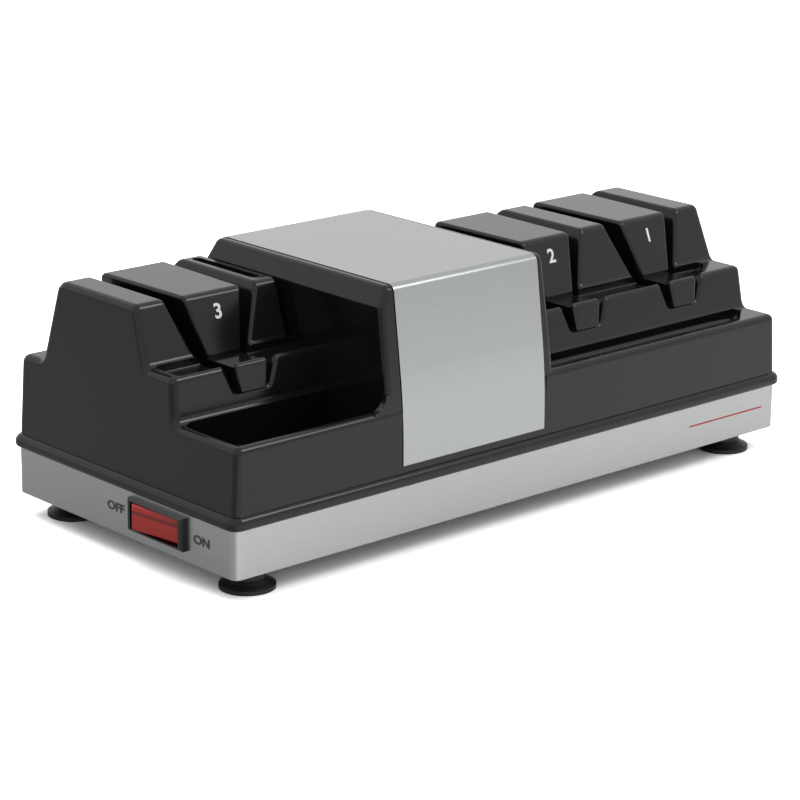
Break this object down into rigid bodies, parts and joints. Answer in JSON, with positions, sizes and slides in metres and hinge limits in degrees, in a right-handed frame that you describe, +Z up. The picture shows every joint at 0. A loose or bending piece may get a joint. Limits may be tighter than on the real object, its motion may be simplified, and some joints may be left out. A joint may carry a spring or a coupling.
{
  "type": "electric knife sharpener",
  "caption": "Bench electric knife sharpener: black moulded housing on a steel base, three V slots with guide blocks, steel centre cover, rocker switch, rubber feet.",
  "frame": {"origin": "on the bench, under the middle of the base", "axes": "+X towards the coarse end on the right, +Y towards the back, +Z up; the slots open up and to the front (-Y)"},
  "size_m": [0.3309, 0.1537, 0.116],
  "materials": {
    "black_plastic": "glossy moulded",
    "base_steel": "brushed lengthways",
    "cover_steel": "brushed satin",
    "plate_steel": "black enamel",
    "bracket_steel": "zinc plated",
    "foot_rubber": "moulded",
    "screw_steel": "zinc plated",
    "magnet_nickel": "nickel plated",
    "shaft_steel": "ground",
    "bush_bronze": "sintered",
    "stator_steel": "laminated",
    "coil_copper": "enamelled wire",
    "rotor_metal": "cast cage",
    "fan_plastic": "moulded",
    "diamond_disc": "diamond coated",
    "strop_disc": "polishing compound",
    "spring_steel": "drawn wire",
    "bezel_plastic": "moulded",
    "rocker_red": "translucent",
    "switch_plastic": "moulded",
    "terminal_brass": "stamped",
    "gland_plastic": "moulded",
    "block_plastic": "moulded"
  },
  "bodies": {
    "housing": {"base_band": "base_steel", "bottom_plate": "plate_steel", "bracket_screws": "screw_steel", "centre_cover": "cover_steel", "cord_gland": "gland_plastic", "cover_screws": "screw_steel", "end_bracket_left": "bracket_steel", "end_bracket_right": "bracket_steel", "foot_back_left": "foot_rubber", "foot_back_right": "foot_rubber", "foot_front_left": "foot_rubber", "foot_front_right": "foot_rubber", "foot_nuts": "screw_steel", "foot_screws": "screw_steel", "gland_nut": "gland_plastic", "guide_block_coarse": "black_plastic", "guide_block_fine": "black_plastic", "guide_block_screws": "screw_steel", "guide_block_strop": "black_plastic", "guide_magnets": "magnet_nickel", "housing_screws": "screw_steel", "motor_bolts": "screw_steel", "motor_bracket_left": "bracket_steel", "motor_bracket_right": "bracket_steel", "shaft_bushes": "bush_bronze", "stator_core": "stator_steel", "stator_spacers": "bracket_steel", "stator_windings": "coil_copper", "switch_bezel": "bezel_plastic", "switch_body": "switch_plastic", "switch_pivot": "shaft_steel", "switch_terminals": "terminal_brass", "terminal_block": "block_plastic", "upper_housing": "black_plastic"},
    "shaft": {"drive_shaft": "shaft_steel", "rotor_core": "rotor_metal", "cooling_fan": "fan_plastic", "drive_dogs": "shaft_steel", "retaining_rings": "screw_steel", "coarse_spring_left": "spring_steel", "coarse_spring_right": "spring_steel", "fine_spring_left": "spring_steel", "fine_spring_right": "spring_steel", "strop_spring_left": "spring_steel", "strop_spring_right": "spring_steel"},
    "coarse_disc_left": {"coarse_disc_left": "diamond_disc"},
    "coarse_disc_right": {"coarse_disc_right": "diamond_disc"},
    "fine_disc_left": {"fine_disc_left": "diamond_disc"},
    "fine_disc_right": {"fine_disc_right": "diamond_disc"},
    "strop_disc_left": {"strop_disc_left": "strop_disc"},
    "strop_disc_right": {"strop_disc_right": "strop_disc"},
    "rocker": {"switch_rocker": "rocker_red"}
  },
  "joints": [
    {"name": "shaft_spin", "type": "hinge", "parent": "housing", "child": "shaft", "pos_m": [0, 0.009, 0.0625], "axis": [1, 0, 0], "continuous": true},
    {"name": "coarse_slide_left", "type": "slide", "parent": "shaft", "child": "coarse_disc_left", "axis": [1, 0, 0], "range_m": [0, 0.0012], "stiffness_N_per_m": 500, "springref_m": -0.004, "deforming": ["coarse_spring_left"]},
    {"name": "coarse_slide_right", "type": "slide", "parent": "shaft", "child": "coarse_disc_right", "axis": [-1, 0, 0], "range_m": [0, 0.0012], "stiffness_N_per_m": 500, "springref_m": -0.004, "deforming": ["coarse_spring_right"]},
    {"name": "fine_slide_left", "type": "slide", "parent": "shaft", "child": "fine_disc_left", "axis": [1, 0, 0], "range_m": [0, 0.0012], "stiffness_N_per_m": 500, "springref_m": -0.004, "deforming": ["fine_spring_left"]},
    {"name": "fine_slide_right", "type": "slide", "parent": "shaft", "child": "fine_disc_right", "axis": [-1, 0, 0], "range_m": [0, 0.0012], "stiffness_N_per_m": 500, "springref_m": -0.004, "deforming": ["fine_spring_right"]},
    {"name": "strop_slide_left", "type": "slide", "parent": "shaft", "child": "strop_disc_left", "axis": [1, 0, 0], "range_m": [0, 0.0012], "stiffness_N_per_m": 500, "springref_m": -0.004, "deforming": ["strop_spring_left"]},
    {"name": "strop_slide_right", "type": "slide", "parent": "shaft", "child": "strop_disc_right", "axis": [-1, 0, 0], "range_m": [0, 0.0012], "stiffness_N_per_m": 500, "springref_m": -0.004, "deforming": ["strop_spring_right"]},
    {"name": "rocker_tilt", "type": "hinge", "parent": "housing", "child": "rocker", "pos_m": [-0.1584, -0.0252, 0.02205], "axis": [0, 0, 1], "range_deg": [-14, 0]}
  ]
}
